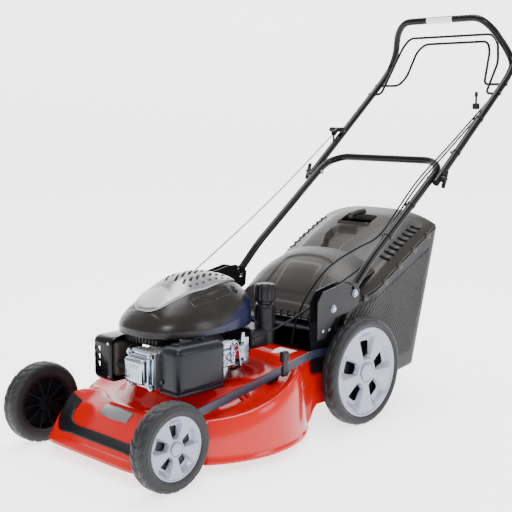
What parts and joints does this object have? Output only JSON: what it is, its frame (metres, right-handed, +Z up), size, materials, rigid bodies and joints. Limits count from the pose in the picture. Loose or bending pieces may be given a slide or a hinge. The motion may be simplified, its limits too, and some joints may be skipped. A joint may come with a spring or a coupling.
{
  "type": "push lawn mower",
  "caption": "Petrol push lawn mower with a pressed deck, vertical-shaft engine, geared rear wheels, folding tube handle with bails and a hinged-flap grass box.",
  "frame": {"origin": "on the ground, under the middle of the mower's bounding box", "axes": "+X to the mower's left, the front faces -Y, +Z up"},
  "size_m": [0.57, 1.4951, 1.0934],
  "materials": {
    "red_enamel": "gloss",
    "black_enamel": "gloss",
    "black_plastic": "satin",
    "grey_plastic": "satin",
    "silver_plastic": "satin",
    "tyre_rubber": "matte",
    "rubber": "matte",
    "steel": "satin",
    "cast_alloy": "cast",
    "cast_iron": "cast",
    "bright_metal": "polished",
    "dark_steel": "matte",
    "filter_foam": "matte"
  },
  "bodies": {
    "chassis": {"deck": "red_enamel", "nose_trim": "black_plastic", "badge_plate": "silver_plastic", "rear_housing": "black_plastic", "height_rack": "black_plastic", "gearbox": "black_plastic", "drive_belt": "rubber", "engine_block": "cast_alloy", "cylinder_head": "cast_alloy", "rocker_cover": "bright_metal", "spark_plug": "black_plastic", "muffler": "dark_steel", "muffler_guard": "black_enamel", "air_filter_cover": "black_plastic", "air_filter_element": "filter_foam", "carburettor": "bright_metal", "fuel_tank": "black_plastic", "engine_cover": "black_plastic", "top_panel": "silver_plastic", "flap_pin": "steel", "handle_bracket_left": "black_enamel", "handle_bracket_right": "black_enamel"},
    "rear_axle": {"rear_axle": "black_enamel"},
    "front_axle": {"front_axle": "black_enamel"},
    "height_link": {"height_link": "black_enamel"},
    "height_catch": {"height_catch": "black_plastic"},
    "front_wheel_left": {"front_tyre_left": "tyre_rubber", "front_rim_left": "silver_plastic"},
    "front_wheel_right": {"front_tyre_right": "tyre_rubber", "front_rim_right": "silver_plastic"},
    "rear_wheel_left": {"rear_tyre_left": "tyre_rubber", "rear_rim_left": "silver_plastic"},
    "rear_wheel_right": {"rear_tyre_right": "tyre_rubber", "rear_rim_right": "silver_plastic"},
    "drive_shaft": {"drive_shaft": "steel"},
    "crankshaft": {"crankshaft": "steel", "blade_adapter": "cast_iron", "blade": "steel", "blade_bolt": "steel", "flywheel": "cast_alloy"},
    "gearbox_pulley": {"gearbox_pulley": "steel"},
    "engine_lever": {"engine_brake_lever": "steel"},
    "fuel_cap": {"fuel_cap": "black_plastic"},
    "oil_dipstick": {"oil_dipstick": "black_plastic"},
    "rear_flap": {"rear_flap": "grey_plastic"},
    "grass_box": {"grass_box": "grey_plastic", "grass_box_lid": "grey_plastic"},
    "lower_handle": {"lower_handle": "black_enamel", "lock_bolt_left": "bright_metal", "lock_bolt_right": "bright_metal"},
    "upper_handle": {"upper_handle": "black_enamel", "starter_rope": "rubber", "drive_cable": "rubber", "engine_cable": "rubber"},
    "fold_knob_left": {"fold_knob_left": "black_plastic"},
    "fold_knob_right": {"fold_knob_right": "black_plastic"},
    "drive_bail": {"drive_bail": "black_enamel"},
    "brake_bail": {"brake_bail": "black_enamel"},
    "throttle": {"throttle_lever": "black_plastic"},
    "starter_grip": {"starter_grip": "black_plastic"}
  },
  "joints": [
    {"name": "height_rear", "type": "hinge", "parent": "chassis", "child": "rear_axle", "pos_m": [0, 0.0429, 0.115], "axis": [1, 0, 0], "range_deg": [0, 67.4]},
    {"name": "height_front", "type": "hinge", "parent": "chassis", "child": "front_axle", "pos_m": [0, -0.6111, 0.0733], "axis": [1, 0, 0], "range_deg": [0, 67.4]},
    {"name": "height_link_pin", "type": "hinge", "parent": "front_axle", "child": "height_link", "pos_m": [0.204, -0.5695, 0.1357], "axis": [1, 0, 0], "range_deg": [-67.4, 0]},
    {"name": "height_catch_slide", "type": "slide", "parent": "height_link", "child": "height_catch", "axis": [0, 0, -1], "range_m": [0, 0.006], "stiffness_N_per_m": 100, "springref_m": -0.003},
    {"name": "front_wheel_spin_left", "type": "hinge", "parent": "front_axle", "child": "front_wheel_left", "pos_m": [0.235, -0.6485, 0.0983], "axis": [1, 0, 0], "continuous": true},
    {"name": "front_wheel_spin_right", "type": "hinge", "parent": "front_axle", "child": "front_wheel_right", "pos_m": [-0.235, -0.6485, 0.0983], "axis": [1, 0, 0], "continuous": true},
    {"name": "rear_wheel_spin_left", "type": "hinge", "parent": "rear_axle", "child": "rear_wheel_left", "pos_m": [0.235, 0.0055, 0.14], "axis": [1, 0, 0], "continuous": true},
    {"name": "rear_wheel_spin_right", "type": "hinge", "parent": "rear_axle", "child": "rear_wheel_right", "pos_m": [-0.235, 0.0055, 0.14], "axis": [1, 0, 0], "continuous": true},
    {"name": "drive_shaft_spin", "type": "hinge", "parent": "rear_axle", "child": "drive_shaft", "pos_m": [0, 0.0429, 0.115], "axis": [1, 0, 0], "continuous": true},
    {"name": "crank_spin", "type": "hinge", "parent": "chassis", "child": "crankshaft", "pos_m": [0, -0.3635, 0.2], "axis": [0, 0, 1], "continuous": true},
    {"name": "gearbox_pulley_spin", "type": "hinge", "parent": "chassis", "child": "gearbox_pulley", "pos_m": [0, -0.0045, 0.127], "axis": [0, 0, 1], "continuous": true},
    {"name": "engine_lever_turn", "type": "hinge", "parent": "chassis", "child": "engine_lever", "pos_m": [0.1515, -0.3405, 0.256], "axis": [1, 0, 0], "range_deg": [0, 12]},
    {"name": "fuel_cap_turn", "type": "hinge", "parent": "chassis", "child": "fuel_cap", "pos_m": [0.096, -0.2085, 0.355], "axis": [0, 0, 1], "range_deg": [0, 90]},
    {"name": "oil_dipstick_turn", "type": "hinge", "parent": "chassis", "child": "oil_dipstick", "pos_m": [-0.08, -0.3185, 0.25], "axis": [0, 0, 1], "range_deg": [0, 90]},
    {"name": "rear_flap_hinge", "type": "hinge", "parent": "chassis", "child": "rear_flap", "pos_m": [0, -0.0365, 0.258], "axis": [1, 0, 0], "range_deg": [0, 70], "stiffness_Nm_per_rad": 1.5, "springref_deg": -51.57, "deforming": ["drive_cable"]},
    {"name": "grass_box_slide", "type": "slide", "parent": "chassis", "child": "grass_box", "axis": [0, 1, 0], "range_m": [0, 0.3]},
    {"name": "lower_handle_pivot", "type": "hinge", "parent": "chassis", "child": "lower_handle", "pos_m": [0, -0.0885, 0.313], "axis": [1, 0, 0], "range_deg": [0, 15], "deforming": ["starter_rope", "drive_cable", "engine_cable"]},
    {"name": "upper_handle_fold", "type": "hinge", "parent": "lower_handle", "child": "upper_handle", "pos_m": [0, 0.3515, 0.618], "axis": [1, 0, 0], "range_deg": [0, 140], "deforming": ["starter_rope", "drive_cable", "engine_cable"]},
    {"name": "fold_knob_turn_left", "type": "hinge", "parent": "upper_handle", "child": "fold_knob_left", "pos_m": [0.23, 0.3515, 0.618], "axis": [1, 0, 0], "range_deg": [0, 90]},
    {"name": "fold_knob_turn_right", "type": "hinge", "parent": "upper_handle", "child": "fold_knob_right", "pos_m": [-0.23, 0.3515, 0.618], "axis": [1, 0, 0], "range_deg": [0, 90]},
    {"name": "drive_bail_squeeze", "type": "hinge", "parent": "upper_handle", "child": "drive_bail", "pos_m": [0, 0.6415, 0.856], "axis": [1, 0, 0], "range_deg": [0, 16], "stiffness_Nm_per_rad": 1, "springref_deg": -28.65},
    {"name": "brake_bail_squeeze", "type": "hinge", "parent": "upper_handle", "child": "brake_bail", "pos_m": [0, 0.6775, 0.8837], "axis": [1, 0, 0], "range_deg": [0, 12], "stiffness_Nm_per_rad": 1, "springref_deg": -28.65},
    {"name": "throttle_swing", "type": "hinge", "parent": "upper_handle", "child": "throttle", "pos_m": [0.208, 0.5635, 0.815], "axis": [1, 0, 0], "range_deg": [-30, 30]},
    {"name": "starter_pull", "type": "slide", "parent": "upper_handle", "child": "starter_grip", "axis": [-0.0996, 0.4979, 0.8615], "range_m": [0, 0.5], "stiffness_N_per_m": 15, "springref_m": -0.15}
  ],
  "couplings": [
    {"joint": "height_front", "follows": "height_rear", "ratio": 1},
    {"joint": "height_link_pin", "follows": "height_rear", "ratio": -1},
    {"joint": "rear_wheel_spin_right", "follows": "rear_wheel_spin_left", "ratio": 1},
    {"joint": "drive_shaft_spin", "follows": "rear_wheel_spin_left", "ratio": 4},
    {"joint": "gearbox_pulley_spin", "follows": "crank_spin", "ratio": 1},
    {"joint": "engine_lever_turn", "follows": "brake_bail_squeeze", "ratio": 1}
  ]
}
